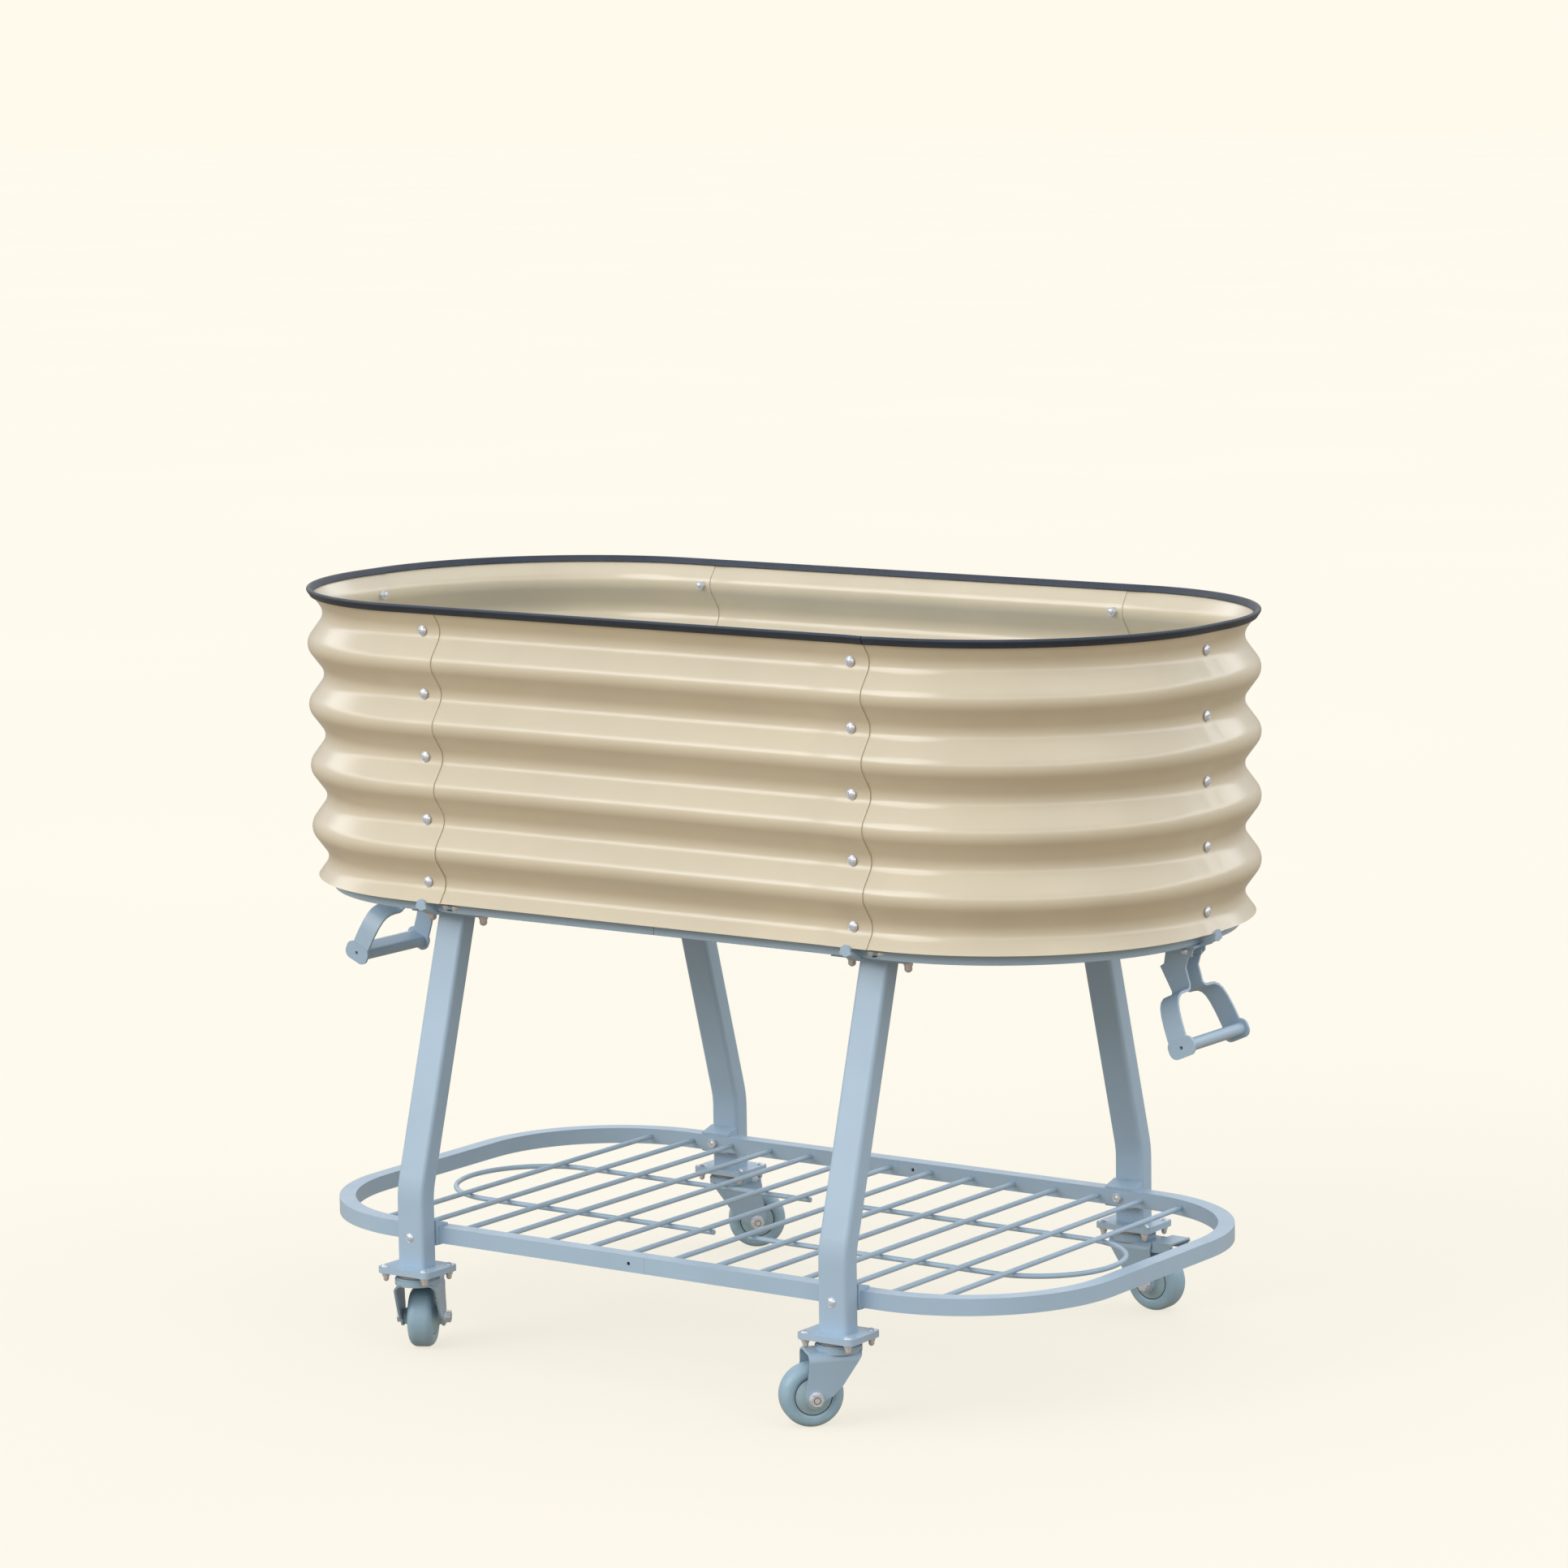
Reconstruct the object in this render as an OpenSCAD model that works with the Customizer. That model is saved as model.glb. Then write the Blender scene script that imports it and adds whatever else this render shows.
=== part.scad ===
// Raised oval planter of ribbed sheet steel on four legs, with a wire shelf and swivel casters.
// Millimetres. X runs along the length, -Y is the front, Z is up from the floor.

/* [Bed] */
// Length of the bed between the valleys of its end walls
bed_len = 1150; // [1146:2:1200]
// Width of the bed between the valleys of its side walls
bed_wid = 536; // [536:2:548]
// Corner radius of the walls, in the valleys
corner_r = 248; // [238:1:248]
// Distance from one rib to the next
rib_pitch = 72; // [68:1:76]
// Depth of a rib
rib_depth = 18; // [12:1:20]
// Number of full ribs
rib_count = 4; // [3:1:5]
// Thickness of the wall sheet
sheet_t = 1.2; // [1:0.1:1.5]
// Distance of the side bolt columns from the middle of the bed
seam_x = 293.5; // [292:0.5:296]

/* [Legs] */
// Half the distance between the legs along the bed
leg_x = 293; // [290:1:296]
// Distance of a foot from the middle of the bed
foot_y = 307.5; // [300:0.5:312]
// Width of a leg tube along the bed
leg_w = 38; // [34:1:42]
// Depth of a leg tube across the bed
leg_d = 25; // [22:1:28]
// Lean of the upper leg from upright
leg_lean = 16; // [12:0.5:18]

/* [Shelf] */
// Length of the shelf ring
shelf_len = 1040; // [980:2:1080]
// Width of the shelf ring
shelf_wid = 582; // [576:1:584]
// Outer corner radius of the shelf ring
shelf_r = 186; // [150:1:220]
// Side of the square shelf tube
shelf_tube = 19; // [17:1:20]
// Rods across each half of the shelf
rod_count = 7; // [5:1:7]
// Distance from one rod to the next
rod_pitch = 59; // [50:1:60]

/* [Casters] */
// Wheel diameter
wheel_d = 70; // [66:1:72]
// Tread width
wheel_w = 29; // [25:1:30]
// Distance from the swivel axis to the axle
trail = 31.5; // [30:0.5:33]

/* [Hidden] */
$fn = 64;
tiny = 0.05;
over = 1;

// Colours
ivory = [0.87, 0.84, 0.77];
powder_blue = [0.64, 0.73, 0.79];
slate = [0.14, 0.19, 0.25];
zinc = [0.72, 0.72, 0.70];
tread_blue = [0.56, 0.65, 0.68];
hub_grey = [0.70, 0.76, 0.78];

// Heights
plate_top = 102.5;
foot_t = 4;
caster_plate_t = 3;
leg_top_z = 501;
flange_t = 3;
bracket_t = 3;
rail_z = leg_top_z + flange_t + bracket_t;
rail_s = 20;
rail_wall = 1.5;
tray_z = rail_z + rail_s;
lip_z = 520.5;
lip_drop = 22;
rim_rise = 28.5;
valley_z = lip_z + lip_drop;
wall_top = valley_z + rib_count * rib_pitch + rim_rise;

// Walls
half_l = bed_len / 2;
half_w = bed_wid / 2;
lap = 24;
end_lap = 16;
under = 12;
joggle = 3;
lap_gap = 0.05;
steps = 10;
lip_steps = 3;
rim_steps = 3;
dz = rib_pitch / steps;
wall_zs = concat(
  [lip_z],
  [for (i = [-lip_steps : steps * rib_count + rim_steps]) valley_z + (i + 0.5) * dz],
  [wall_top]
);

// Bolts in the walls
bolt_r = 3;
bolt_hole_r = 3.4;
hole_reach = 7;
nut_bore_r = 3.05;
head_r = 6.2;
head_h = 3;
head_lift = 1.6;
wall_bolt_len = 9;
nut_af = 10;
nut_h = 5;
shelf_head_r = 5.5;

// Base ring and tray
rail_gap = 6;
rail_l = half_l - rail_gap;
rail_w = half_w - rail_gap;
rail_r = corner_r - rail_gap;
joint_x = 19;
rail_sleeve_len = 90;
sleeve_clear = 0.1;
sleeve_t = 1.5;
tray_gap = 3;
tray_t = 1.2;
tray_rim_h = 9;
tray_split = 0.4;
drain_r = 6;
drain_nx = 5;
drain_dx = 95;
drain_x0 = 70;
drain_dy = 110;
bar_x = leg_x;

// Brackets and legs
leg_bolt_x = 37;
bracket_l = 98;
bracket_w = 46;
leg_bend_r = 90;
leg_bend_z = 177.5;
leg_wall = 2;
join_lap = 0.5;
join_step = 0.02;
leg_corner = 5;
foot_l = 73;
foot_w = 58;
foot_corner = 6;
foot_hole_x = 28.2;
foot_hole_y = 22.2;
lean_s = sin(leg_lean);
lean_c = cos(leg_lean);
bend_u = leg_bend_r * (1 - lean_c);
bend_top = leg_bend_z + leg_bend_r * lean_s;
upper_len = (leg_top_z - bend_top) / lean_c;
top_y = foot_y - bend_u - upper_len * lean_s;
tongue_w = 15;
tongue_rise = 10.5;
tongue_tip = 6.5;
tongue_bend = 3;
ear_w = 13;
ear_t = 2.5;
ear_base = 8;
ear_top = 524.5;
ear_in = half_w + 15;
end_ear_in = half_l + 14;
tab_l = 23;
tab_h = 13;
tab_t = 2.5;
tab_x0 = 11;
pin_r = 2.5;
pin_hole_r = 2.8;
pin_nut_r = 2.55;
pin_head_r = 4.6;
pin_head_h = 2.6;
pin_nut_af = 8;
pin_nut_h = 3.5;
pin_end = 0.5;
pin_x1 = 16.5;
pin_x2 = 29.5;
pin_z = rail_z + 6.5;

// Shelf
ring_l = shelf_len / 2;
ring_w = shelf_wid / 2;
ring_z = 127.5;
ring_mid = ring_z + shelf_tube / 2;
ring_wall = 1.5;
rod_r = 3;
rod_bite = 0.7;
rod_end = 4.5;
loop_y = 97;
loop_x = 357;
loop_z = ring_mid - 2 * rod_r + tiny;
shelf_sleeve_len = 90;
joint_hole_x = 22;
joint_hole_r = 2.2;
saddle_t = 2;
saddle_reach = 21;
saddle_rise = 6;

// Handles
handle_x = half_l - 22.7;
handle_z = 456.6;
handle_tilt = 24;
strap_t = 3;
strap_w = 24;
strap_y = 11.7;
grip_d = 61;
grip_y = 56.6;
grip_w = 27;
grip_h = 13.6;
grip_off = 2;
lobe_w = 34;
lobe_h = 22;
lobe_r = 9;
grip_hole_r = 2;
pivot_x = half_l - 19;
pivot_z = 498.8;
clevis_y = 11.5;
clevis_t = 2.3;
clevis_z = 493;
clevis_x0 = half_l - 37;
clevis_x1 = half_l - 11;
end_plate_x0 = half_l - 57;
end_plate_x1 = half_l - 3;
end_plate_w = 40;
strap_outline = [
  [-18.8, 46.9], [-21.8, 26.9], [-26.8, 23.6], [-11, -4.9], [11, 4.9],
  [5.2, 24.4], [8.2, 34.9], [14, 41], [14, 46.9]
];
arm_path = [
  [13.2, -6], [13.6, -1], [15.5, 2], [19, 3.6], [28, 3.8], [36, 4.6], [43, 7.8],
  [48, 13], [52, 22], [55, 34], [57, 47], [58.1, 56], [58.1, 61]
];

// Casters
axle_z = wheel_d / 2;
wheel_r = wheel_d / 2;
shoulder_r = 9;
tyre_bore = 24;
hub_w = 23;
hub_boss_r = 9;
hub_boss_w = 44.4;
hub_boss_drop = 4.5;
hub_boss_step = 1;
hub_face_rise = 1.5;
hub_groove_r = 21;
hub_groove = 0.7;
axle_r = 4;
axle_bore_r = 4.07;
fork_top = 88.5;
hood_top = 84.2;
fork_t = 2.5;
fork_w = 50;
fork_shoulder = 10;
fork_disc_r = 26;
fork_lobe_r = 11;
fork_side = [
  [-22, 85], [36, 85], [38, 81], [38, 66], [40, 56], [42.5, 45], [42.5, 35], [21, 33], [12, 37], [0.5, 49],
  [-20, 79]
];
race_r = 23;
race_lower_r = 24.5;
race_lower_h = 2;
race_gap = 0.5;
king_r = 5;
king_hole_r = 5.06;
king_head_r = 8.5;
king_head_h = 2.6;
king_pocket_r = 10;
king_top_t = 2.5;
king_gap = 0.3;
axle_head_r = 7.4;
axle_head_h = 5;
axle_nut_af = 13;
axle_nut_h = 7;
axle_flange_r = 8.4;
axle_flange_h = 1.6;
axle_hole_r = 4.05;
caster_x = [-leg_x, leg_x, -leg_x, leg_x];
caster_y = [-foot_y, -foot_y, foot_y, foot_y];
caster_turn = [119, -132, 37, -2];
axle_side = [-1, 1, -1, -1];
brake_pin_x = 34;
brake_pin_z = 75.5;
brake_pin_r = 2;
brake_hole_r = 2.06;
brake_w = 42;
brake_t = 2;
brake_top = 86;
brake_x0 = 40;
brake_x1 = 65;
brake_side = [
  [30.5, 72.5], [30.5, 77.5], [38.8, 77.5], [40, 86], [63, 86], [66, 83], [62, 79], [50, 73.5]
];
brake_shoe_x0 = 42;
brake_shoe_x1 = 48;
brake_shoe_w = 16;
brake_shoe_z = 70;
washer_t = 1.5;
washer_step = 1;
crown_step = 1.4;
crown_h = 3;
leg_acorn = [5.75, 14, 6];
foot_acorn = [4.6, 10.5, 4.5];
foot_bolt_r = 2.5;
foot_nut_r = 2.55;
foot_head_r = 5.2;
foot_head_h = 2.8;
thread_end = 6;

function wave(z) = rib_depth / 2 * (1 - cos(360 * (z - valley_z) / rib_pitch));
function edge(shift) = [for (z = wall_zs) [wave(z) + shift, z]];
function rev(v) = [for (i = [len(v) - 1 : -1 : 0]) v[i]];

module section(lo, hi)
  polygon(concat(edge(hi), rev(edge(lo))));

// A length of side wall at the front, from x0 to x1
module side_run(x0, x1, lo, hi)
  translate([x0, -half_w, 0])
    rotate([90, 0, 90])
      linear_extrude(x1 - x0)
        mirror([1, 0])
          section(lo, hi);

// A length of end wall at the right, from y0 to y1
module end_run(y0, y1, lo, hi)
  translate([half_l, y1, 0])
    rotate([90, 0, 0])
      linear_extrude(y1 - y0)
        section(lo, hi);

// The quarter bend at the front right corner
module corner_bend()
  translate([half_l - corner_r, corner_r - half_w, 0])
    rotate([0, 0, -90])
      rotate_extrude(angle = 90)
        translate([corner_r, 0])
          section(-sheet_t, 0);

// The six bolt columns, turned so that -Y looks outwards
module at_seams() {
  for (s = [-1, 1]) {
    translate([s * seam_x, -half_w, 0])
      children();
    translate([s * seam_x, half_w, 0])
      rotate([0, 0, 180])
        children();
    translate([s * half_l, 0, 0])
      rotate([0, 0, s * 90])
        children();
  }
}

module at_valleys()
  for (i = [0 : rib_count])
    translate([0, 0, valley_z + i * rib_pitch])
      rotate([90, 0, 0])
        children();

module seam_holes()
  at_seams()
    at_valleys()
      cylinder(r = bolt_hole_r, h = hole_reach, center = true);

module side_panel()
  color(ivory)
    difference() {
      union() {
        side_run(-seam_x - under, seam_x - lap - joggle, -sheet_t, 0);
        side_run(seam_x - lap - joggle, seam_x - lap, -sheet_t, lap_gap + sheet_t);
        side_run(seam_x - lap, seam_x + lap, lap_gap, lap_gap + sheet_t);
      }
      seam_holes();
    }

// Corner that starts under the side panel and laps over the next corner
module corner_panel_a()
  color(ivory)
    difference() {
      union() {
        side_run(seam_x - under, half_l - corner_r, -sheet_t, 0);
        corner_bend();
        end_run(corner_r - half_w, -end_lap - joggle, -sheet_t, 0);
        end_run(-end_lap - joggle, -end_lap, -sheet_t, lap_gap + sheet_t);
        end_run(-end_lap, end_lap, lap_gap, lap_gap + sheet_t);
      }
      seam_holes();
    }

// Corner that starts under the other corner and laps over the side panel
module corner_panel_b()
  color(ivory)
    difference() {
      union() {
        end_run(-under, half_w - corner_r, -sheet_t, 0);
        mirror([0, 1, 0])
          corner_bend();
        rotate([0, 0, 180]) {
          side_run(corner_r - half_l, -seam_x - lap - joggle, -sheet_t, 0);
          side_run(-seam_x - lap - joggle, -seam_x - lap, -sheet_t, lap_gap + sheet_t);
          side_run(-seam_x - lap, lap - seam_x, lap_gap, lap_gap + sheet_t);
        }
      }
      seam_holes();
    }

// Sweeps a 2-D profile round a closed rounded rectangle, x = 0 on its outline
module oval(hl, hw, r)
  for (turn = [0, 180])
    rotate([0, 0, turn]) {
      translate([hl - r, hw - r, 0])
        rotate_extrude(angle = 90)
          translate([r, 0])
            children();
      translate([hl - r, r - hw, 0])
        rotate([0, 0, -90])
          rotate_extrude(angle = 90)
            translate([r, 0])
              children();
      translate([r - hl, hw, 0])
        rotate([90, 0, 90])
          linear_extrude(2 * (hl - r))
            children();
      translate([hl, hw - r, 0])
        rotate([90, 0, 0])
          linear_extrude(2 * (hw - r))
            children();
    }

// The right half of the same path, from x = xj at the front to x = -xj at the back
module half_oval(hl, hw, r, xj) {
  translate([hl - r, hw - r, 0])
    rotate_extrude(angle = 90)
      translate([r, 0])
        children();
  translate([hl - r, r - hw, 0])
    rotate([0, 0, -90])
      rotate_extrude(angle = 90)
        translate([r, 0])
          children();
  translate([hl, hw - r, 0])
    rotate([90, 0, 0])
      linear_extrude(2 * (hw - r))
        children();
  translate([2 * tiny - xj, hw, 0])
    rotate([90, 0, 90])
      linear_extrude(hl - r + xj - 2 * tiny)
        children();
  rotate([0, 0, 180])
    translate([r - hl, hw, 0])
      rotate([90, 0, 90])
        linear_extrude(hl - r - xj - 2 * tiny)
          children();
}

module rim_profile() {
  slope = atan((wave(wall_top) - wave(wall_top - dz)) / dz);
  mid = wave(wall_top) + lap_gap / 2;
  wall_half = 2.8;
  slot_half = 1.4;
  reach = 7.5;
  top_drop = 0.6;
  slot_top = 0.4;
  translate([mid, wall_top])
    rotate(-slope)
      difference() {
        union() {
          translate([-wall_half, -reach])
            square([2 * wall_half, reach - top_drop]);
          translate([0, -top_drop])
            circle(r = wall_half);
        }
        translate([-slot_half, -reach - over])
          square([2 * slot_half, reach + over + slot_top]);
      }
}

module rim_trim()
  color(slate)
    oval(half_l, half_w, corner_r)
      rim_profile();

// Fasteners. Each points along +Z, with its seat at z = 0.
module dome(r, h) {
  big = (r * r + h * h) / (2 * h);
  rotate_extrude()
    intersection() {
      translate([0, h - big])
        circle(r = big);
      square([r, h]);
    }
}

module bolt(r, len, hr, hh) {
  dome(hr, hh);
  translate([0, 0, -len])
    cylinder(r = r, h = len + tiny);
}

module nut(af, h, bore)
  difference() {
    cylinder(d = af / cos(30), h = h, $fn = 6);
    translate([0, 0, -over])
      cylinder(r = bore, h = h + 2 * over);
  }

// Cap nut: size is [corner radius, full height, height of the hexagon]
module acorn(size, bore)
  difference() {
    union() {
      cylinder(r = size[0] + washer_step, h = washer_t);
      cylinder(r = size[0], h = size[2], $fn = 6);
      cylinder(r = size[0] - crown_step, h = size[1] - crown_h);
      translate([0, 0, size[1] - crown_h - tiny])
        dome(size[0] - crown_step - tiny, crown_h);
    }
    translate([0, 0, -over])
      cylinder(r = bore, h = thread_end + over);
  }

module panel_bolts()
  color(zinc)
    at_seams()
      at_valleys()
        translate([0, 0, lap_gap + sheet_t + head_lift])
          bolt(bolt_r, wall_bolt_len + lap_gap + head_lift, head_r, head_h);

module panel_nuts()
  color(zinc)
    at_seams()
      at_valleys()
        translate([0, 0, -sheet_t - nut_h])
          nut(nut_af, nut_h, nut_bore_r);

// Base ring
module rail_profile()
  difference() {
    translate([-rail_s, rail_z])
      square(rail_s);
    translate([rail_wall - rail_s, rail_z + rail_wall])
      square(rail_s - 2 * rail_wall);
  }

module at_pins()
  for (turn = [0, 180], s = [-1, 1], x = [pin_x1, pin_x2])
    rotate([0, 0, turn])
      translate([s * leg_x + x, -rail_w, pin_z])
        rotate([90, 0, 0])
          children();

module base_rail()
  color(powder_blue)
    difference() {
      half_oval(rail_l, rail_w, rail_r, joint_x)
        rail_profile();
      at_pins()
        cylinder(r = pin_hole_r, h = 3 * rail_s, center = true);
    }

module sleeve(x, y, z, s, len)
  translate([x, y, z])
    rotate([90, 0, 90])
      linear_extrude(len, center = true)
        difference() {
          square(s, center = true);
          square(s - 2 * sleeve_t, center = true);
        }

module rail_sleeves()
  color(zinc)
    for (turn = [0, 180])
      rotate([0, 0, turn])
        sleeve(
          joint_x, rail_s / 2 - rail_w, rail_z + rail_s / 2,
          rail_s - 2 * rail_wall - 2 * sleeve_clear, rail_sleeve_len
        );

module cross_bars() {
  bar_len = 2 * (rail_w - rail_s) - 2 * tiny;
  color(powder_blue)
    for (x = [-bar_x, 0, bar_x])
      translate([x, 0, rail_z + rail_s / 2])
        rotate([90, 0, 0])
          linear_extrude(bar_len, center = true)
            difference() {
              square(rail_s - tiny, center = true);
              square(rail_s - 2 * rail_wall, center = true);
            }
}

module oval_2d(hl, hw, r) {
  square([2 * hl, 2 * (hw - r)], center = true);
  square([2 * (hl - r), 2 * hw], center = true);
  for (x = [-1, 1], y = [-1, 1])
    translate([x * (hl - r), y * (hw - r)])
      circle(r = r);
}

module floor_tray() {
  hl = half_l - tray_gap;
  hw = half_w - tray_gap;
  r = corner_r - tray_gap;
  color(powder_blue)
    difference() {
      translate([0, 0, tray_z])
        linear_extrude(tray_t + tray_rim_h)
          oval_2d(hl, hw, r);
      translate([0, 0, tray_z + tray_t])
        linear_extrude(tray_rim_h + over)
          oval_2d(hl - tray_t, hw - tray_t, r - tray_t);
      translate([tray_split - bed_len, -half_w, tray_z - over])
        cube([bed_len, bed_wid, tray_rim_h + tray_t + 2 * over]);
      for (i = [0 : drain_nx - 1], y = [-drain_dy, 0, drain_dy])
        translate([drain_x0 + i * drain_dx, y, tray_z - over])
          cylinder(r = drain_r, h = tray_t + 2 * over);
    }
}

// Brackets, drawn at the front for a leg at x = 0
module bracket_plate(l, w, t)
  linear_extrude(t)
    difference() {
      square([l, w], center = true);
      for (x = [-leg_bolt_x, leg_bolt_x])
        translate([x, 0])
          circle(r = bolt_hole_r);
    }

// Tongue that passes under the ring and rises to an ear outside the wall
module tongue(y0, y_ring, y_ear, t)
  translate([0, 0, rail_z - t])
    rotate([90, 0, 90])
      linear_extrude(tongue_w, center = true)
        polygon([
          [-y0, 0], [-y0, t], [-y_ring - tongue_bend / 2, t], [-y_ear, t + tongue_rise],
          [-y_ear - ear_t, t + tongue_rise], [-y_ear - ear_t, t + tongue_tip], [-y_ring - tongue_bend, 0]
        ]);

module ear(y_ear)
  translate([0, -y_ear, 0])
    rotate([90, 0, 0])
      linear_extrude(ear_t) {
        translate([-ear_w / 2, rail_z + ear_base])
          square([ear_w, ear_top - rail_z - ear_base - ear_w / 2]);
        translate([0, ear_top - ear_w / 2])
          circle(r = ear_w / 2);
      }

module leg_bracket()
  difference() {
    union() {
      translate([0, -top_y, rail_z - bracket_t])
        bracket_plate(bracket_l, bracket_w, bracket_t);
      tongue(top_y, rail_w, ear_in, bracket_t);
      ear(ear_in);
      translate([tab_x0, rail_s - rail_w, rail_z - bracket_t])
        cube([tab_l, tab_t, bracket_t + tab_h]);
    }
    for (x = [pin_x1, pin_x2])
      translate([x, -rail_w, pin_z])
        rotate([90, 0, 0])
          cylinder(r = pin_hole_r, h = 3 * rail_s, center = true);
  }

module leg_brackets()
  color(powder_blue)
    for (turn = [0, 180], s = [-1, 1])
      rotate([0, 0, turn])
        translate([s * leg_x, 0, 0])
          leg_bracket();

module end_bracket()
  color(powder_blue)
    difference() {
      union() {
        translate([end_plate_x0, -end_plate_w / 2, rail_z - bracket_t])
          cube([end_plate_x1 - end_plate_x0, end_plate_w, bracket_t]);
        rotate([0, 0, 90]) {
          tongue(end_plate_x1 - over, rail_l, end_ear_in, bracket_t);
          ear(end_ear_in);
        }
        for (y = [-clevis_y, clevis_y - clevis_t])
          translate([clevis_x0, y, clevis_z])
            cube([clevis_x1 - clevis_x0, clevis_t, rail_z - bracket_t - clevis_z + tiny]);
      }
      translate([pivot_x, 0, pivot_z])
        rotate([90, 0, 0])
          cylinder(r = pin_hole_r, h = 4 * clevis_y, center = true);
    }

// Legs, drawn at the front for x = 0
module leg_outline(cut) {
  w = leg_w - 2 * cut;
  d = leg_d - 2 * cut;
  r = leg_corner - cut;
  square([w, d - 2 * r], center = true);
  square([w - 2 * r, d], center = true);
  for (x = [-1, 1], y = [-1, 1])
    translate([x * (w / 2 - r), y * (d / 2 - r)])
      circle(r = r);
}

module leg_core(cut) {
  translate([0, 0, plate_top])
    linear_extrude(leg_bend_z - plate_top)
      leg_outline(cut);
  translate([0, leg_bend_r, leg_bend_z])
    rotate([90, 0, -90])
      rotate_extrude(angle = leg_lean)
        translate([leg_bend_r, 0])
          rotate(90)
            leg_outline(cut);
  translate([0, bend_u, bend_top])
    rotate([-leg_lean, 0, 0])
      translate([0, 0, -join_lap])
        linear_extrude(join_lap + upper_len + leg_d)
          leg_outline(cut - join_step);
}

module foot_plate(t)
  linear_extrude(t)
    difference() {
      union() {
        square([foot_l, foot_w - 2 * foot_corner], center = true);
        square([foot_l - 2 * foot_corner, foot_w], center = true);
        for (x = [-1, 1], y = [-1, 1])
          translate([x * (foot_l / 2 - foot_corner), y * (foot_w / 2 - foot_corner)])
            circle(r = foot_corner);
      }
      for (x = [-foot_hole_x, foot_hole_x], y = [-foot_hole_y, foot_hole_y])
        translate([x, y])
          circle(r = bolt_hole_r);
    }

module saddle() {
  web = foot_y - leg_d / 2 - ring_w - 2 * tiny;
  low = ring_z - saddle_t - 2 * tiny;
  high = ring_z + shelf_tube + 2 * tiny;
  face = leg_d / 2 - tiny;
  rotate([90, 0, 90])
    linear_extrude(leg_w, center = true) {
      polygon([
        [face, low], [face + saddle_reach, low], [face + saddle_reach, low + saddle_t],
        [face + web, low + saddle_t], [face + web, high], [face + saddle_reach, high],
        [face + saddle_reach, high + saddle_t], [face, high + saddle_t + saddle_rise]
      ]);
    }
}

module leg()
  color(powder_blue)
    translate([0, -foot_y, 0])
      difference() {
        union() {
          difference() {
            leg_core(0);
            leg_core(leg_wall);
            translate([-leg_w, 0, leg_top_z])
              cube([2 * leg_w, foot_y, leg_w]);
          }
          difference() {
            translate([0, 0, plate_top - foot_t])
              foot_plate(foot_t + tiny);
            translate([0, 0, plate_top - foot_t - over])
              cylinder(r = leg_corner, h = foot_t + 2 * over);
          }
          translate([0, foot_y - top_y, leg_top_z])
            bracket_plate(bracket_l, bracket_w, flange_t);
          saddle();
        }
        translate([0, 0, ring_mid])
          rotate([90, 0, 0])
            cylinder(r = bolt_hole_r, h = 4 * leg_d, center = true);
      }

module leg_at(sx, sy)
  rotate([0, 0, sy > 0 ? 180 : 0])
    translate([sx * sy * -leg_x, 0, 0])
      leg();

module at_leg_bolts()
  for (turn = [0, 180], s = [-1, 1], x = [-leg_bolt_x, leg_bolt_x])
    rotate([0, 0, turn])
      translate([s * leg_x + x, -top_y, 0])
        children();

module frame_bolts()
  color(zinc) {
    at_leg_bolts()
      translate([0, 0, rail_z])
        bolt(bolt_r, flange_t + bracket_t + thread_end - tiny, head_r, head_h);
    at_pins()
      bolt(pin_r, rail_s + tab_t + pin_nut_h + pin_end, pin_head_r, pin_head_h);
  }

module frame_nuts()
  color(zinc) {
    at_leg_bolts()
      translate([0, 0, leg_top_z])
        mirror([0, 0, 1])
          acorn(leg_acorn, nut_bore_r);
    at_pins()
      translate([0, 0, -rail_s - tab_t - pin_nut_h])
        nut(pin_nut_af, pin_nut_h, pin_nut_r);
  }

// Shelf
module ring_profile()
  difference() {
    translate([-shelf_tube, ring_z])
      square(shelf_tube);
    translate([ring_wall - shelf_tube, ring_z + ring_wall])
      square(shelf_tube - 2 * ring_wall);
  }

function rod_x(i) = (i + 0.5) * rod_pitch;
function rod_reach(x) =
  x <= ring_l - shelf_r ? ring_w - shelf_tube
  : ring_w - shelf_r + sqrt(pow(shelf_r - shelf_tube, 2) - pow(x - ring_l + shelf_r, 2));

module at_joint_holes()
  for (turn = [0, 180])
    rotate([0, 0, turn])
      translate([joint_x - joint_hole_x, -ring_w, ring_mid])
        rotate([90, 0, 0])
          children();

module at_shelf_bolts()
  for (turn = [0, 180], s = [-1, 1])
    rotate([0, 0, turn])
      translate([s * leg_x, -foot_y - leg_d / 2, ring_mid])
        rotate([90, 0, 0])
          children();

module shelf_half()
  color(powder_blue)
    difference() {
      union() {
        half_oval(ring_l, ring_w, shelf_r, joint_x)
          ring_profile();
        for (i = [0 : rod_count - 1])
          translate([rod_x(i), 0, ring_mid])
            rotate([90, 0, 0])
              cylinder(r = rod_r, h = 2 * (rod_reach(rod_x(i)) + rod_bite), center = true);
        for (y = [-loop_y, loop_y])
          translate([rod_x(0) - rod_end, y, loop_z])
            rotate([0, 90, 0])
              cylinder(r = rod_r, h = loop_x - rod_x(0) + rod_end);
        translate([loop_x, 0, loop_z])
          rotate([0, 0, -90])
            rotate_extrude(angle = 180)
              translate([loop_y, 0])
                circle(r = rod_r);
      }
      at_joint_holes()
        cylinder(r = joint_hole_r, h = 3 * shelf_tube, center = true);
      at_shelf_bolts()
        cylinder(r = bolt_hole_r, h = 8 * shelf_tube, center = true);
    }

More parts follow.
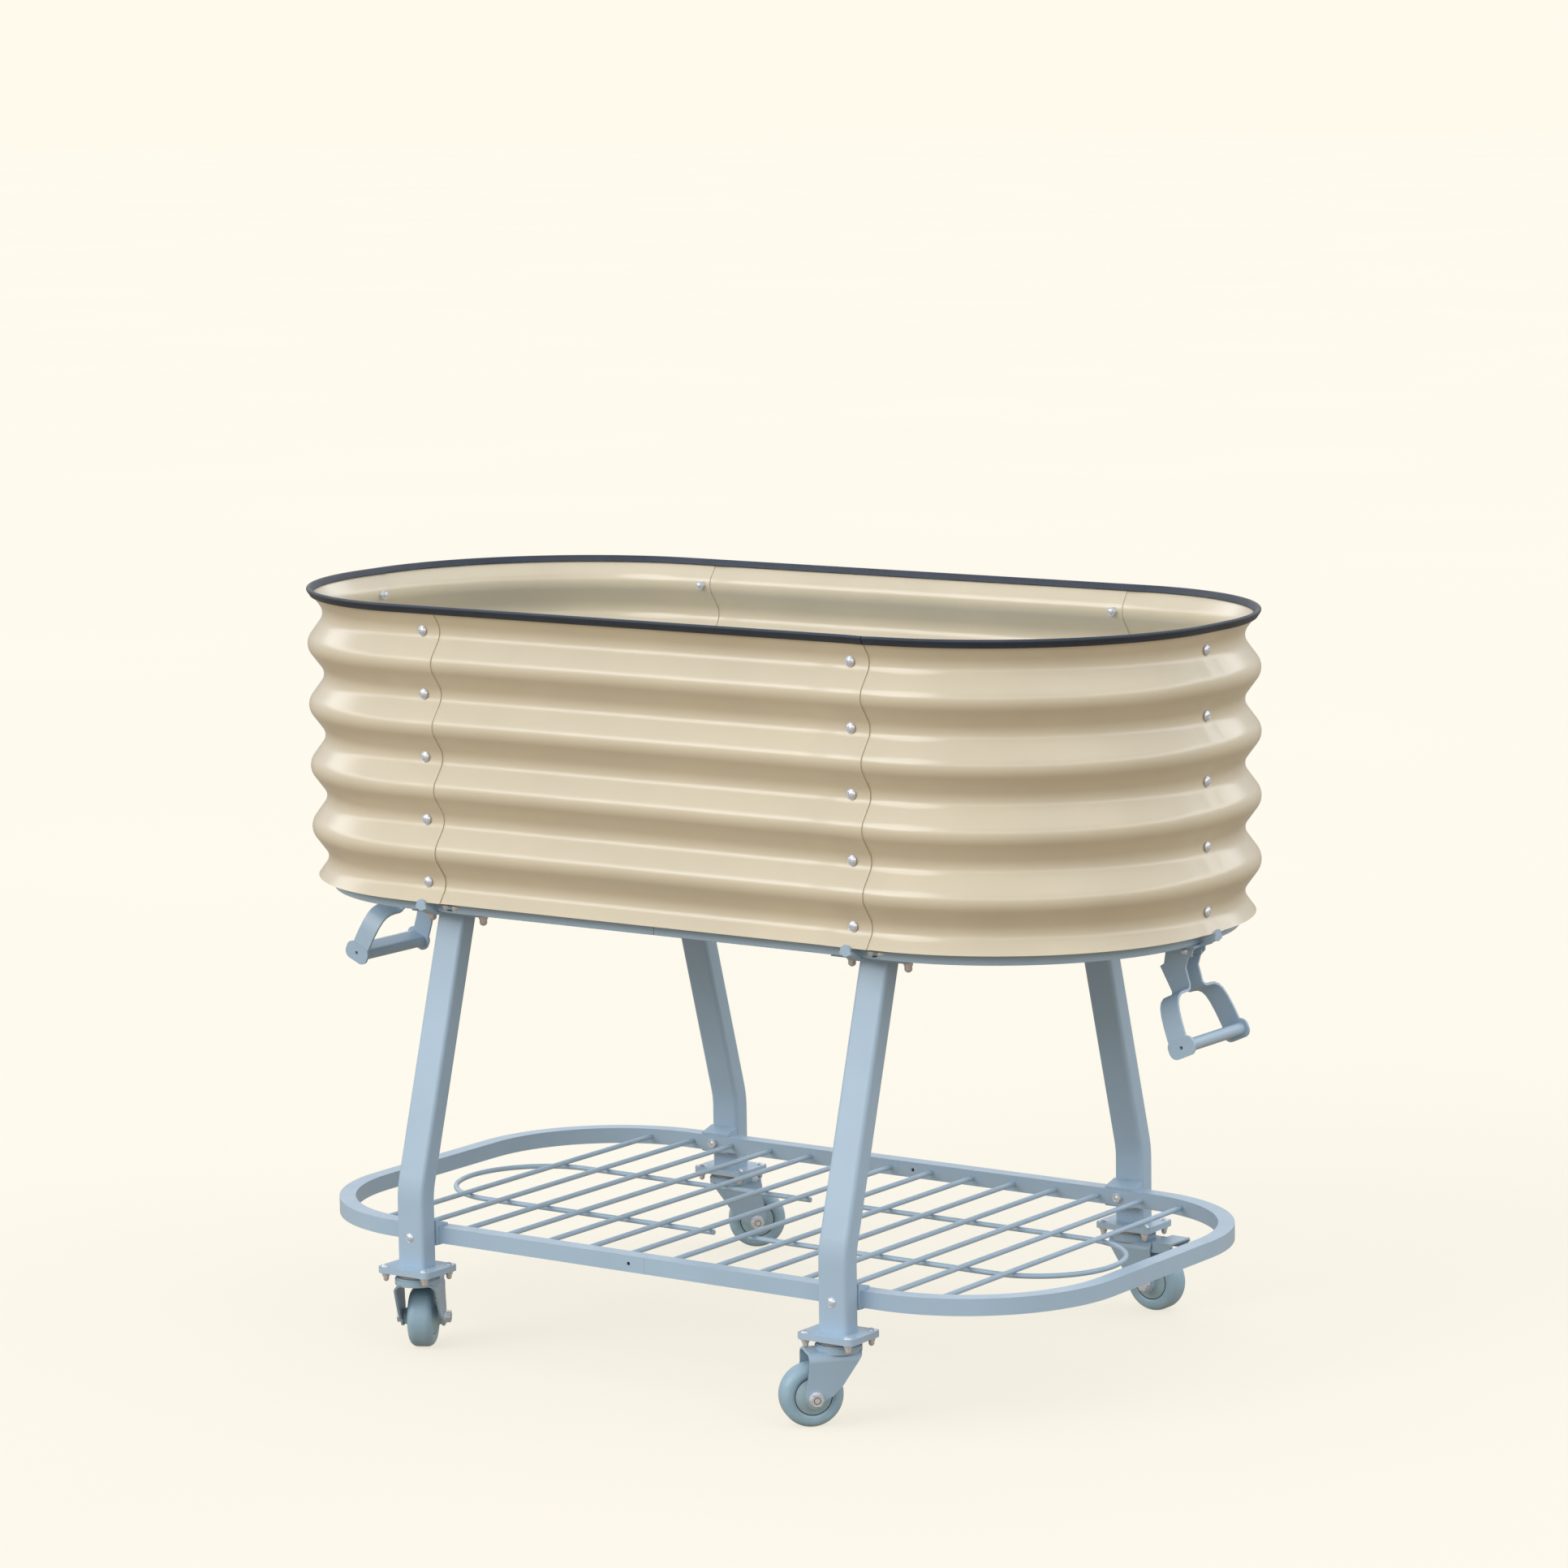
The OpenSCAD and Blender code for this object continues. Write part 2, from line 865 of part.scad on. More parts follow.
module shelf_sleeves()
  color(zinc)
    difference() {
      for (turn = [0, 180])
        rotate([0, 0, turn])
          sleeve(
            joint_x, shelf_tube / 2 - ring_w, ring_mid,
            shelf_tube - 2 * ring_wall - 2 * sleeve_clear, shelf_sleeve_len
          );
      at_joint_holes()
        cylinder(r = joint_hole_r, h = 3 * shelf_tube, center = true);
    }

module shelf_bolts() {
  grip = foot_y + leg_d / 2 - ring_w + shelf_tube;
  color(zinc)
    at_shelf_bolts()
      bolt(bolt_r, grip + nut_h, shelf_head_r, head_h);
}

module shelf_nuts() {
  grip = foot_y + leg_d / 2 - ring_w + shelf_tube;
  color(zinc)
    at_shelf_bolts()
      translate([0, 0, -grip - nut_h])
        nut(nut_af, nut_h, nut_bore_r);
}

// Handles
function dir(a, b) = (b - a) / norm(b - a);
function turned(v) = [v[1], -v[0]];
function normal_at(p, i) =
  i == 0 ? turned(dir(p[0], p[1]))
  : i == len(p) - 1 ? turned(dir(p[i - 1], p[i]))
  : turned(dir([0, 0], dir(p[i - 1], p[i]) + dir(p[i], p[i + 1])));
function shifted(p, s) = [for (i = [0 : len(p) - 1]) p[i] + s * normal_at(p, i)];

module ribbon(p, t)
  polygon(concat(shifted(p, t / 2), rev(shifted(p, -t / 2))));

module rounded(a, b, r) {
  square([a, b - 2 * r], center = true);
  square([a - 2 * r, b], center = true);
  for (x = [-1, 1], y = [-1, 1])
    translate([x * (a / 2 - r), y * (b / 2 - r)])
      circle(r = r);
}

// Axes for the loop: x across the bed, y down along the handle, z inwards
module handle_frame()
  translate([handle_x, 0, handle_z])
    rotate([0, -90 - handle_tilt, 0])
      rotate([0, 0, 90])
        children();

module handle_strap()
  color(powder_blue)
    difference() {
      union() {
        translate([handle_x, strap_y + strap_t, handle_z])
          rotate([90, 0, 0])
            linear_extrude(strap_t)
              polygon(strap_outline);
        handle_frame() {
          linear_extrude(strap_w, center = true)
            ribbon(arm_path, strap_t);
          translate([grip_y, grip_d, -grip_off])
            rotate([0, 90, 0])
              linear_extrude(strap_t)
                rounded(lobe_w, lobe_h, lobe_r);
        }
      }
      translate([pivot_x, 0, pivot_z])
        rotate([90, 0, 0])
          cylinder(r = pin_hole_r, h = 4 * (strap_y + strap_t), center = true);
      handle_frame()
        translate([grip_y - over, grip_d, -grip_off])
          rotate([0, 90, 0])
            cylinder(r = grip_hole_r, h = strap_t + 2 * over);
    }

module handle_grip() {
  grip_len = 2 * (grip_y - tiny);
  color(powder_blue)
    handle_frame()
      translate([-grip_len / 2, grip_d, -grip_off])
        rotate([0, 90, 0])
          linear_extrude(grip_len)
            difference() {
              rounded(grip_w, grip_h, grip_h / 2 - tiny);
              circle(r = grip_hole_r);
            }
}

module handle_bolts()
  color(zinc)
    for (turn = [0, 180])
      rotate([0, 0, turn])
        translate([pivot_x, 0, pivot_z])
          rotate([90, 0, 0]) {
            translate([0, 0, strap_y + strap_t])
              bolt(pin_r, 2 * (strap_y + strap_t) + pin_nut_h + pin_end, pin_head_r, pin_head_h);
            translate([0, 0, -strap_y - strap_t - pin_nut_h])
              nut(pin_nut_af, pin_nut_h, pin_nut_r);
          }

// Casters
module at_caster(i)
  translate([caster_x[i], caster_y[i], 0])
    rotate([0, 0, caster_turn[i]])
      children();

module at_foot_bolts()
  for (i = [0 : 3], x = [-foot_hole_x, foot_hole_x], y = [-foot_hole_y, foot_hole_y])
    translate([caster_x[i] + x, caster_y[i] + y, 0])
      children();

module caster_bolts()
  color(zinc)
    at_foot_bolts()
      translate([0, 0, plate_top + tiny])
        bolt(foot_bolt_r, foot_t + caster_plate_t + thread_end - tiny, foot_head_r, foot_head_h);

module caster_nuts()
  color(zinc)
    at_foot_bolts()
      translate([0, 0, plate_top - foot_t - caster_plate_t])
        mirror([0, 0, 1])
          acorn(foot_acorn, foot_nut_r);

module caster_plates() {
  z0 = plate_top - foot_t - caster_plate_t;
  race_z = fork_top + race_lower_h + race_gap;
  head_z = fork_top - king_top_t - king_gap - king_head_h;
  color(powder_blue)
    for (i = [0 : 3])
      translate([caster_x[i], caster_y[i], 0]) {
        translate([0, 0, z0])
          foot_plate(caster_plate_t);
        translate([0, 0, race_z])
          cylinder(r = race_r, h = z0 - race_z + tiny);
        translate([0, 0, head_z])
          cylinder(r = king_r, h = z0 - head_z + tiny);
        translate([0, 0, head_z])
          cylinder(r = king_head_r, h = king_head_h);
      }
}

module arch(w, top, r) {
  translate([-w / 2, 0])
    square([w, top - r]);
  translate([r - w / 2, 0])
    square([w - 2 * r, top]);
  for (x = [-1, 1])
    translate([x * (w / 2 - r), top - r])
      circle(r = r);
}

module fork(braked)
  color(powder_blue)
    difference() {
      union() {
        intersection() {
          translate([0, fork_w, 0])
            rotate([90, 0, 0])
              linear_extrude(2 * fork_w) {
                polygon(fork_side);
                translate([trail, axle_z])
                  circle(r = fork_lobe_r);
              }
          translate([-2 * fork_w, 0, 0])
            rotate([90, 0, 90])
              linear_extrude(4 * fork_w)
                difference() {
                  arch(fork_w, hood_top, fork_shoulder);
                  translate([0, -over])
                    arch(fork_w - 2 * fork_t, hood_top - fork_t + over, fork_shoulder - fork_t);
                }
        }
        translate([0, 0, hood_top - fork_t])
          cylinder(r = fork_disc_r, h = fork_top - hood_top + fork_t);
        translate([0, 0, fork_top - tiny])
          cylinder(r = race_lower_r, h = race_lower_h + tiny);
      }
      translate([0, 0, hood_top - fork_t - over])
        cylinder(r = king_hole_r, h = fork_top);
      translate([0, 0, hood_top - fork_t - over])
        cylinder(r = king_pocket_r, h = fork_top - king_top_t - hood_top + fork_t + over);
      translate([trail, 0, axle_z])
        rotate([90, 0, 0])
          cylinder(r = axle_hole_r, h = 2 * fork_w, center = true);
      if (braked)
        translate([brake_pin_x, 0, brake_pin_z])
          rotate([90, 0, 0])
            cylinder(r = brake_hole_r, h = 2 * fork_w, center = true);
    }

module wheel_frame()
  translate([trail, 0, axle_z])
    rotate([90, 0, 0])
      children();

module tyre()
  color(tread_blue)
    wheel_frame()
      rotate_extrude() {
        translate([tyre_bore, shoulder_r - wheel_w / 2])
          square([wheel_r - tyre_bore, wheel_w - 2 * shoulder_r]);
        translate([tyre_bore, -wheel_w / 2])
          square([wheel_r - shoulder_r - tyre_bore, wheel_w]);
        for (y = [-1, 1])
          translate([wheel_r - shoulder_r, y * (wheel_w / 2 - shoulder_r)])
            circle(r = shoulder_r);
      }

module hub() {
  face = hub_w / 2;
  boss = hub_boss_w / 2;
  half = [
    [axle_bore_r, boss], [hub_boss_r, boss], [hub_boss_r + hub_boss_step, boss - hub_boss_drop],
    [hub_groove_r - hub_groove, face + hub_face_rise], [hub_groove_r - hub_groove, face],
    [hub_groove_r + hub_groove, face], [hub_groove_r + hub_groove, face + hub_face_rise],
    [tyre_bore, face + hub_face_rise]
  ];
  color(hub_grey)
    wheel_frame()
      rotate_extrude()
        polygon(concat(half, [for (p = rev(half)) [p[0], -p[1]]]));
}

module axle(side)
  color(zinc)
    wheel_frame()
      mirror([0, 0, side > 0 ? 1 : 0]) {
        translate([0, 0, -fork_w / 2 - axle_head_h])
          cylinder(r = axle_head_r, h = axle_head_h, $fn = 6);
        translate([0, 0, -fork_w / 2 - tiny])
          cylinder(r = axle_r, h = fork_w + axle_nut_h + 2 * tiny);
        translate([0, 0, fork_w / 2]) {
          nut(axle_nut_af, axle_nut_h, axle_hole_r);
          difference() {
            cylinder(r = axle_flange_r, h = axle_flange_h);
            translate([0, 0, -over])
              cylinder(r = axle_hole_r, h = axle_flange_h + 2 * over);
          }
        }
      }

module brake()
  color(powder_blue) {
    translate([brake_pin_x, 0, brake_pin_z])
      rotate([90, 0, 0])
        cylinder(r = brake_pin_r, h = fork_w - 2 * tiny, center = true);
    translate([brake_x0, -brake_w / 2, brake_top - brake_t])
      cube([brake_x1 - brake_x0, brake_w, brake_t]);
    for (y = [-brake_w / 2, brake_w / 2 - brake_t])
      translate([0, y + brake_t, 0])
        rotate([90, 0, 0])
          linear_extrude(brake_t)
            polygon(brake_side);
    translate([brake_shoe_x0, -brake_shoe_w / 2, brake_shoe_z])
      cube([brake_shoe_x1 - brake_shoe_x0, brake_shoe_w, brake_top - brake_shoe_z - tiny]);
  }

side_panel();  // side_panel_front
rotate([0, 0, 180]) side_panel();  // side_panel_back
corner_panel_a();  // corner_panel_fr
corner_panel_b();  // corner_panel_br
rotate([0, 0, 180]) corner_panel_a();  // corner_panel_bl
rotate([0, 0, 180]) corner_panel_b();  // corner_panel_fl
panel_bolts();
panel_nuts();
rim_trim();
rotate([0, 0, 180]) base_rail();  // base_rail_left
base_rail();  // base_rail_right
rail_sleeves();
cross_bars();
rotate([0, 0, 180]) floor_tray();  // floor_tray_left
floor_tray();  // floor_tray_right
leg_brackets();
rotate([0, 0, 180]) end_bracket();  // end_bracket_left
end_bracket();  // end_bracket_right
leg_at(-1, -1);  // leg_fl
leg_at(1, -1);  // leg_fr
leg_at(-1, 1);  // leg_bl
leg_at(1, 1);  // leg_br
frame_bolts();
frame_nuts();
rotate([0, 0, 180]) shelf_half();  // shelf_left
shelf_half();  // shelf_right
shelf_sleeves();
shelf_bolts();
shelf_nuts();
rotate([0, 0, 180]) handle_strap();  // handle_strap_left_front
rotate([0, 0, 180]) mirror([0, 1, 0]) handle_strap();  // handle_strap_left_back
rotate([0, 0, 180]) handle_grip();  // handle_grip_left
mirror([0, 1, 0]) handle_strap();  // handle_strap_right_front
handle_strap();  // handle_strap_right_back
handle_grip();  // handle_grip_right
handle_bolts();
caster_bolts();
caster_nuts();
caster_plates();
at_caster(0) fork(true);  // fork_fl
at_caster(0) tyre();  // tyre_fl
at_caster(0) hub();  // hub_fl
at_caster(0) axle(axle_side[0]);  // axle_fl
at_caster(0) brake();  // brake_fl
at_caster(1) fork(false);  // fork_fr
at_caster(1) tyre();  // tyre_fr
at_caster(1) hub();  // hub_fr
at_caster(1) axle(axle_side[1]);  // axle_fr
at_caster(2) fork(false);  // fork_bl
at_caster(2) tyre();  // tyre_bl
at_caster(2) hub();  // hub_bl
at_caster(2) axle(axle_side[2]);  // axle_bl
at_caster(3) fork(true);  // fork_br
at_caster(3) tyre();  // tyre_br
at_caster(3) hub();  // hub_br
at_caster(3) axle(axle_side[3]);  // axle_br
at_caster(3) brake();  // brake_br
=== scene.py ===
"""Looks of the raised oval planter: enamelled ribbed walls, coated frame, plated fasteners, casters."""

import math

import bmesh
import bpy
from mathutils import Matrix, Vector


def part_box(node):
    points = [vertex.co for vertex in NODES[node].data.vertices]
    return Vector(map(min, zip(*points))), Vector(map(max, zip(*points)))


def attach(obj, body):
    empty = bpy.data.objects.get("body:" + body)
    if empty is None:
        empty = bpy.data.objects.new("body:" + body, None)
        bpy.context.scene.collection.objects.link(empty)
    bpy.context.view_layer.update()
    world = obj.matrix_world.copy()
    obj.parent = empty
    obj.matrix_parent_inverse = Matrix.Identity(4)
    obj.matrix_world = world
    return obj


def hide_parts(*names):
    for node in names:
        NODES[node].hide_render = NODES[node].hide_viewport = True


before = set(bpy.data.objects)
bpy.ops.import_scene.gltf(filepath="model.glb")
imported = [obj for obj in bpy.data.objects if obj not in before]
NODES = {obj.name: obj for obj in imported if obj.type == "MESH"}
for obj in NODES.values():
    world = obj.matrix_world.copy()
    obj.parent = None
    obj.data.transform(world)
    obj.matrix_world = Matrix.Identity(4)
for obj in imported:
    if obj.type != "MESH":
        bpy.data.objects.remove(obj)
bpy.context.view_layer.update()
CORNERS = ("fl", "fr", "bl", "br")
MM = 0.001

# Walls, in metres, on the valley line of the ribs
HALF_L, HALF_W, CORNER_R = 0.575, 0.268, 0.248
SHEET = 0.0012
LAP_GAP = 0.00005
PITCH, DEPTH, BEND_R = 0.072, 0.018, 0.0175
VALLEY_Z, LIP_Z, TOP_Z = 0.5425, 0.5205, 0.859
SEAM_X = 0.2935
SIDE_LAP, END_LAP, UNDER = 0.024, 0.016, 0.012
JOGGLE = 0.009
FLARE, FLARE_LENGTH = 0.00025, 0.010
ROW_STEP, COLUMN_STEP = 0.0022, 0.011
BOLT_ROWS = 5

# Rim trim: how far its joint lies before the bend, half the joint's gap, and how its ends sink
TRIM_JOINT, TRIM_GAP, TRIM_SINK, TRIM_EASE = 0.008, 0.0006, 0.0004, 0.02
TRIM_REACH, TRIM_STEPS = 0.007, 420

# Frame and casters, in metres, as in the CAD
LEG_X, FOOT_Y, LEG_D = 0.293, 0.3075, 0.025
RING_Z, SHELF_GRIP = 0.137, 0.0525
GROOVE_R, HUB_HALF = 0.021, 0.0130
AXLE_R, NUT_FACE = 0.0036, 0.03210
RACE_R, RACE_LOW, RACE_HIGH = 0.0230, 0.0910, 0.0955

# Softened edges
TUBE_EDGE, SHELF_EDGE, SHEET_EDGE = 0.0018, 0.0016, 0.0005
FORK_EDGE, SMALL_EDGE = 0.0004, 0.0003

# The studio: the backdrop's colour, and the sky by elevation in degrees
PALE = (1.0, 0.955, 0.838)
SKY_STRENGTH = 2.5
SKY = (
    (-90, (0.105, 0.087, 0.064)),
    (-20, (0.150, 0.126, 0.094)),
    (2, (0.225, 0.205, 0.178)),
    (14, (0.270, 0.266, 0.260)),
    (19, (0.850, 0.860, 0.880)),
    (25, (0.850, 0.860, 0.880)),
    (31, (0.270, 0.284, 0.302)),
    (60, (0.300, 0.316, 0.338)),
    (90, (0.330, 0.346, 0.368)),
)


# ---------------------------------------------------------------- materials

def node_material(name):
    """A new node material and its Principled shader."""
    material = bpy.data.materials.new(name)
    material.use_nodes = True
    return material, material.node_tree, material.node_tree.nodes["Principled BSDF"]


def noise(tree, scale, detail=3.0, rough=0.5, stretch=None):
    """A noise texture in the object's own space, stretched by three factors if asked."""
    coords = tree.nodes.new("ShaderNodeTexCoord")
    texture = tree.nodes.new("ShaderNodeTexNoise")
    texture.inputs["Scale"].default_value = scale
    texture.inputs["Detail"].default_value = detail
    texture.inputs["Roughness"].default_value = rough
    if stretch:
        mapping = tree.nodes.new("ShaderNodeMapping")
        mapping.inputs["Scale"].default_value = stretch
        tree.links.new(coords.outputs["Object"], mapping.inputs["Vector"])
        tree.links.new(mapping.outputs["Vector"], texture.inputs["Vector"])
    else:
        tree.links.new(coords.outputs["Object"], texture.inputs["Vector"])
    return texture.outputs["Fac"]


def spread(tree, value, low, high):
    """Maps a 0 to 1 value to low to high."""
    node = tree.nodes.new("ShaderNodeMapRange")
    node.inputs["From Min"].default_value = 0.3
    node.inputs["From Max"].default_value = 0.7
    node.inputs["To Min"].default_value = low
    node.inputs["To Max"].default_value = high
    tree.links.new(value, node.inputs["Value"])
    return node.outputs["Result"]


def blend_colour(tree, factor, first, second):
    node = tree.nodes.new("ShaderNodeMix")
    node.data_type = "RGBA"
    node.inputs["A"].default_value = (*first, 1)
    node.inputs["B"].default_value = (*second, 1)
    tree.links.new(factor, node.inputs["Factor"])
    return node.outputs["Result"]


def bump(tree, shader, height, strength, distance):
    node = tree.nodes.new("ShaderNodeBump")
    node.inputs["Strength"].default_value = strength
    node.inputs["Distance"].default_value = distance
    tree.links.new(height, node.inputs["Height"])
    tree.links.new(node.outputs["Normal"], shader.inputs["Normal"])


def tint(colour, factor):
    return tuple(c * factor for c in colour)


def coated_metal(name, colour, rough, peel, coat, coat_rough):
    """Baked coating: a faint cloudiness, orange peel and uneven gloss."""
    material, tree, shader = node_material(name)
    clouds = spread(tree, noise(tree, 9.0, 4.0), 0.0, 1.0)
    tree.links.new(blend_colour(tree, clouds, tint(colour, 0.93), colour), shader.inputs["Base Color"])
    gloss = spread(tree, noise(tree, 38.0, 5.0, 0.6), rough - 0.05, rough + 0.07)
    tree.links.new(gloss, shader.inputs["Roughness"])
    bump(tree, shader, noise(tree, 620.0, 2.0), peel, 0.0004)
    shader.inputs["Coat Weight"].default_value = coat
    shader.inputs["Coat Roughness"].default_value = coat_rough
    shader.inputs["Specular IOR Level"].default_value = 0.5
    return material


def plated_metal(name, colour, rough):
    """Zinc or nickel plating, with fine scratches and dull patches."""
    material, tree, shader = node_material(name)
    patches = spread(tree, noise(tree, 240.0, 4.0), 0.0, 1.0)
    tree.links.new(blend_colour(tree, patches, tint(colour, 0.88), colour), shader.inputs["Base Color"])
    shader.inputs["Metallic"].default_value = 0.6
    wear = spread(tree, noise(tree, 800.0, 3.0, 0.6, (1, 1, 6)), rough - 0.08, rough + 0.12)
    tree.links.new(wear, shader.inputs["Roughness"])
    bump(tree, shader, noise(tree, 1500.0, 3.0), 0.05, 0.0002)
    return material


def moulded(name, colour, rough, grain):
    """Moulded polyurethane, rubber or nylon, slightly mottled and fine grained."""
    material, tree, shader = node_material(name)
    mottle = spread(tree, noise(tree, 60.0, 5.0, 0.6), 0.0, 1.0)
    tree.links.new(blend_colour(tree, mottle, tint(colour, 0.88), colour), shader.inputs["Base Color"])
    tree.links.new(spread(tree, noise(tree, 150.0), rough - 0.06, rough + 0.08), shader.inputs["Roughness"])
    bump(tree, shader, noise(tree, 1400.0, 2.0), grain, 0.0003)
    return material


def ribbed_rubber(name, colour, rib_pitch):
    """Edge trim: fine ribs across its length. The UV map's u is the length along the trim, in metres."""
    material, tree, shader = node_material(name)
    mottle = spread(tree, noise(tree, 45.0, 4.0), 0.0, 1.0)
    tree.links.new(blend_colour(tree, mottle, tint(colour, 0.75), colour), shader.inputs["Base Color"])
    uv = tree.nodes.new("ShaderNodeUVMap")
    split = tree.nodes.new("ShaderNodeSeparateXYZ")
    tree.links.new(uv.outputs["UV"], split.inputs["Vector"])
    turns = tree.nodes.new("ShaderNodeMath")
    turns.operation = "MULTIPLY"
    turns.inputs[1].default_value = 2 * math.pi / rib_pitch
    tree.links.new(split.outputs["X"], turns.inputs[0])
    wave = tree.nodes.new("ShaderNodeMath")
    wave.operation = "SINE"
    tree.links.new(turns.outputs[0], wave.inputs[0])
    bump(tree, shader, wave.outputs[0], 0.5, 0.00035)
    shader.inputs["Roughness"].default_value = 0.38
    return material


IVORY = coated_metal("ivory_enamel", (0.69, 0.603, 0.440), 0.36, 0.05, 0.9, 0.15)
BLUE = coated_metal("blue_powder_coat", (0.405, 0.545, 0.680), 0.40, 0.09, 0.25, 0.2)
PLATED = plated_metal("plated_steel", (0.80, 0.83, 0.89), 0.28)
CAP_NUT = plated_metal("plated_cap_nut", (0.76, 0.72, 0.69), 0.34)
# Painted shade: a darker copy of the blue powder coat, for the forks' and brakes' faces turned down and away
# from the light.
SHADED_FORK_COAT = coated_metal("painted_shade_powder_coat", (0.340, 0.465, 0.575), 0.42, 0.09, 0.2, 0.25)
RACE = plated_metal("greased_race", (0.38, 0.36, 0.34), 0.36)
INSERT = plated_metal("zinc_insert", (0.62, 0.62, 0.61), 0.42)
TRIM = ribbed_rubber("slate_rubber", (0.020, 0.034, 0.060), 0.0019)
TREAD = moulded("grey_blue_tread", (0.325, 0.485, 0.590), 0.36, 0.10)
HUB = moulded("light_hub", (0.350, 0.495, 0.555), 0.40, 0.08)
# Painted shade: a near-black for the shadow down the hub's groove and round the axle's end in its nut.
GAP_SHADE = moulded("painted_gap_shade", (0.020, 0.020, 0.020), 0.7, 0.1)


# ---------------------------------------------------------------- mesh helpers

def add_mesh(name, verts, faces, material, smooth_angle=40.0):
    mesh = bpy.data.meshes.new(name)
    mesh.from_pydata([tuple(v) for v in verts], [], faces)
    mesh.validate()
    mesh.materials.append(material)
    obj = bpy.data.objects.new(name, mesh)
    bpy.context.scene.collection.objects.link(obj)
    smooth_by_angle(obj, smooth_angle)
    return obj


def smooth_by_angle(obj, angle):
    """Smooth shading with edges sharper than the angle marked sharp."""
    mesh = obj.data
    grown = bmesh.new()
    grown.from_mesh(mesh)
    limit = math.radians(angle)
    flags = [len(e.link_faces) == 2 and e.calc_face_angle(0) > limit for e in grown.edges]
    grown.free()
    mesh.shade_smooth()
    attribute = mesh.attributes.get("sharp_edge") or mesh.attributes.new("sharp_edge", "BOOLEAN", "EDGE")
    attribute.data.foreach_set("value", flags)


def lathe(profile, segments, close=True):
    """Verts and faces of a profile of (r, z) points turned about Z. Points at r = 0 become one pole."""
    verts, rings = [], []
    for r, z in profile:
        if r < 1e-7:
            rings.append([len(verts)])
            verts.append((0, 0, z))
        else:
            rings.append(list(range(len(verts), len(verts) + segments)))
            for k in range(segments):
                a = 2 * math.pi * k / segments
                verts.append((r * math.cos(a), r * math.sin(a), z))
    faces = []
    pairs = list(zip(rings, rings[1:]))
    if close:
        pairs.append((rings[-1], rings[0]))
    for low, high in pairs:
        for k in range(segments):
            n = (k + 1) % segments
            if len(low) == 1 and len(high) > 1:
                faces.append((low[0], high[n], high[k]))
            elif len(high) == 1 and len(low) > 1:
                faces.append((low[k], low[n], high[0]))
            elif len(low) > 1:
                faces.append((low[k], low[n], high[n], high[k]))
    return verts, faces


def copies(name, templates, places, material, angle):
    """One object made of each template, a (verts, faces) pair, put at each placing matrix."""
    verts, faces = [], []
    for place in places:
        for part_verts, part_faces in templates:
            base = len(verts)
            verts += [place @ Vector(v) for v in part_verts]
            faces += [tuple(base + i for i in face) for face in part_faces]
    return add_mesh(name, verts, faces, material, angle)


def place_at(point, direction, spin=0.0):
    """A matrix that takes +Z to the direction and the origin to the point."""
    turn = Vector(direction).to_track_quat("Z", "Y").to_matrix().to_4x4()
    return Matrix.Translation(Vector(point)) @ turn @ Matrix.Rotation(spin, 4, "Z")


def arc(cx, cy, r, start, end, count):
    """Points of an arc, angles in degrees."""
    steps = [math.radians(start + (end - start) * k / count) for k in range(count + 1)]
    return [(cx + r * math.cos(a), cy + r * math.sin(a)) for a in steps]


# ---------------------------------------------------------------- ribbed walls

def rib_slope():
    """Angle of a rib's straight slope between its bend arcs, found by halving."""
    low, high = 0.1, 1.2
    for _ in range(60):
        mid = (low + high) / 2
        run = (PITCH / 2 - 2 * BEND_R * math.sin(mid)) / math.cos(mid)
        if 2 * BEND_R * (1 - math.cos(mid)) + run * math.sin(mid) < DEPTH:
            low = mid
        else:
            high = mid
    return (low + high) / 2


SLOPE = rib_slope()


def rib(z):
    """How far the sheet stands out from the valley line at a height: arcs joined by straight slopes."""
    t = abs((z - VALLEY_Z + PITCH / 2) % PITCH - PITCH / 2)
    bend = BEND_R * math.sin(SLOPE)
    if t < bend:
        return BEND_R - math.sqrt(BEND_R ** 2 - t ** 2)
    if t > PITCH / 2 - bend:
        s = PITCH / 2 - t
        return DEPTH - BEND_R + math.sqrt(BEND_R ** 2 - s ** 2)
    return BEND_R * (1 - math.cos(SLOPE)) + (t - bend) * math.tan(SLOPE)


def outline_point(s):
    """The point and outward direction at a distance s along the valley line, anticlockwise from the middle
    of the front wall."""
    straight, side, bend = HALF_L - CORNER_R, HALF_W - CORNER_R, math.pi / 2 * CORNER_R
    total = 4 * (straight + side + bend)
    s %= total
    legs = [
        ("line", straight, (0, -HALF_W), (1, 0), (0, -1)),
        ("bend", bend, (straight, -side), -90),
        ("line", 2 * side, (HALF_L, -side), (0, 1), (1, 0)),
        ("bend", bend, (straight, side), 0),
        ("line", 2 * straight, (straight, HALF_W), (-1, 0), (0, 1)),
        ("bend", bend, (-straight, side), 90),
        ("line", 2 * side, (-HALF_L, side), (0, -1), (-1, 0)),
        ("bend", bend, (-straight, -side), 180),
        ("line", straight, (-straight, -HALF_W), (1, 0), (0, -1)),
    ]
    for leg in legs:
        if s <= leg[1]:
            if leg[0] == "line":
                _, _, start, way, out = leg
                return Vector((start[0] + way[0] * s, start[1] + way[1] * s)), Vector(out)
            _, _, centre, angle = leg
            a = math.radians(angle) + s / CORNER_R
            out = Vector((math.cos(a), math.sin(a)))
            return Vector(centre) + out * CORNER_R, out
        s -= leg[1]
    return outline_point(0)


PERIMETER = 4 * (HALF_L - CORNER_R + HALF_W - CORNER_R + math.pi / 2 * CORNER_R)
S_SIDE = SEAM_X
S_END = HALF_L - CORNER_R + math.pi / 2 * CORNER_R + HALF_W - CORNER_R
SEAMS = (S_SIDE, S_END, PERIMETER / 2 - S_SIDE, PERIMETER / 2 + S_SIDE, PERIMETER - S_END, PERIMETER - S_SIDE)


def eased(t):
    t = min(max(t, 0.0), 1.0)
    return t * t * (3 - 2 * t)


